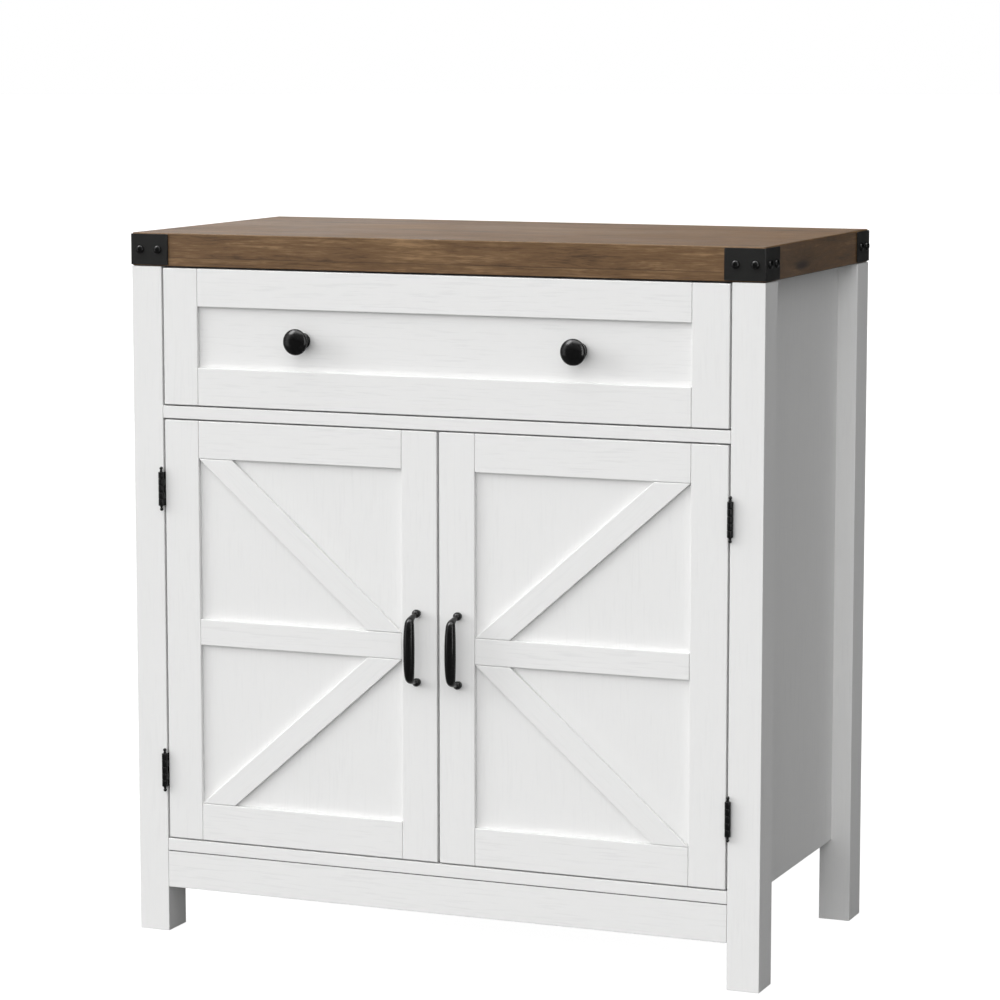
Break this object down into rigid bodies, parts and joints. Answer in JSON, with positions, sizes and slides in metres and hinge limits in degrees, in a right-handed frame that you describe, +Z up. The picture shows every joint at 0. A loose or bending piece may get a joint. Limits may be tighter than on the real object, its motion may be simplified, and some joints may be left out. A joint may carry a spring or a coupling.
{
  "type": "sideboard buffet",
  "caption": "Free-standing farmhouse sideboard: a wide framed drawer over a cupboard with cross-braced doors, a thick wood-look top with metal corner brackets, and square legs.",
  "frame": {"origin": "on the floor, under the centre of the object's box, handles and studs included", "axes": "+Z up, +X to the right seen from the front, the front faces -Y"},
  "size_m": [0.809, 0.4418, 0.857],
  "materials": {
    "white_laminate": "matt white laminate with a fine embossed grain on board",
    "oak_laminate": "satin rustic oak laminate with plank joints and knots on board",
    "bracket_metal": "matt charcoal powder coat",
    "black_hardware": "satin black coat",
    "zinc_steel": "bright zinc plate",
    "hardboard": "white lacquered hardboard",
    "box_laminate": "white paper-faced board",
    "catch_plastic": "moulded light grey plastic"
  },
  "bodies": {
    "cabinet": {"worktop": "oak_laminate", "post_front_left": "white_laminate", "post_front_right": "white_laminate", "post_rear_left": "white_laminate", "post_rear_right": "white_laminate", "side_panel_left": "white_laminate", "side_panel_right": "white_laminate", "back_panel": "hardboard", "bottom_board": "white_laminate", "divider_board": "white_laminate", "apron_front": "white_laminate", "rear_rail": "white_laminate", "shelf": "white_laminate", "corner_bracket_front_left": "bracket_metal", "corner_bracket_front_right": "bracket_metal", "corner_bracket_rear_left": "bracket_metal", "corner_bracket_rear_right": "bracket_metal", "slide_cabinet_left": "zinc_steel", "slide_cabinet_right": "zinc_steel", "magnetic_catch": "catch_plastic", "hinge_left_upper_post_leaf": "black_hardware", "hinge_left_lower_post_leaf": "black_hardware", "hinge_right_upper_post_leaf": "black_hardware", "hinge_right_lower_post_leaf": "black_hardware"},
    "door_left": {"door_left_panel": "white_laminate", "door_left_stile_hinge": "white_laminate", "door_left_stile_latch": "white_laminate", "door_left_rail_top": "white_laminate", "door_left_rail_mid": "white_laminate", "door_left_rail_bottom": "white_laminate", "door_left_brace_upper": "white_laminate", "door_left_brace_lower": "white_laminate", "door_left_handle": "black_hardware", "hinge_left_upper_door_leaf": "black_hardware", "hinge_left_lower_door_leaf": "black_hardware"},
    "door_right": {"door_right_panel": "white_laminate", "door_right_stile_hinge": "white_laminate", "door_right_stile_latch": "white_laminate", "door_right_rail_top": "white_laminate", "door_right_rail_mid": "white_laminate", "door_right_rail_bottom": "white_laminate", "door_right_brace_upper": "white_laminate", "door_right_brace_lower": "white_laminate", "door_right_handle": "black_hardware", "hinge_right_upper_door_leaf": "black_hardware", "hinge_right_lower_door_leaf": "black_hardware"},
    "drawer": {"drawer_panel": "white_laminate", "drawer_stile_left": "white_laminate", "drawer_stile_right": "white_laminate", "drawer_rail_top": "white_laminate", "drawer_rail_bottom": "white_laminate", "drawer_side_left": "box_laminate", "drawer_side_right": "box_laminate", "drawer_back": "box_laminate", "drawer_bottom": "hardboard", "knob_left": "black_hardware", "knob_right": "black_hardware", "slide_drawer_left": "zinc_steel", "slide_drawer_right": "zinc_steel"}
  },
  "joints": [
    {"name": "door_left_hinge", "type": "hinge", "parent": "cabinet", "child": "door_left", "pos_m": [-0.3618, -0.1935, 0.3752], "axis": [0, 0, -1], "range_deg": [0, 175]},
    {"name": "door_right_hinge", "type": "hinge", "parent": "cabinet", "child": "door_right", "pos_m": [0.3618, -0.1935, 0.3752], "axis": [0, 0, 1], "range_deg": [0, 175]},
    {"name": "drawer_slide", "type": "slide", "parent": "cabinet", "child": "drawer", "axis": [0, -1, 0], "range_m": [0, 0.26]}
  ]
}
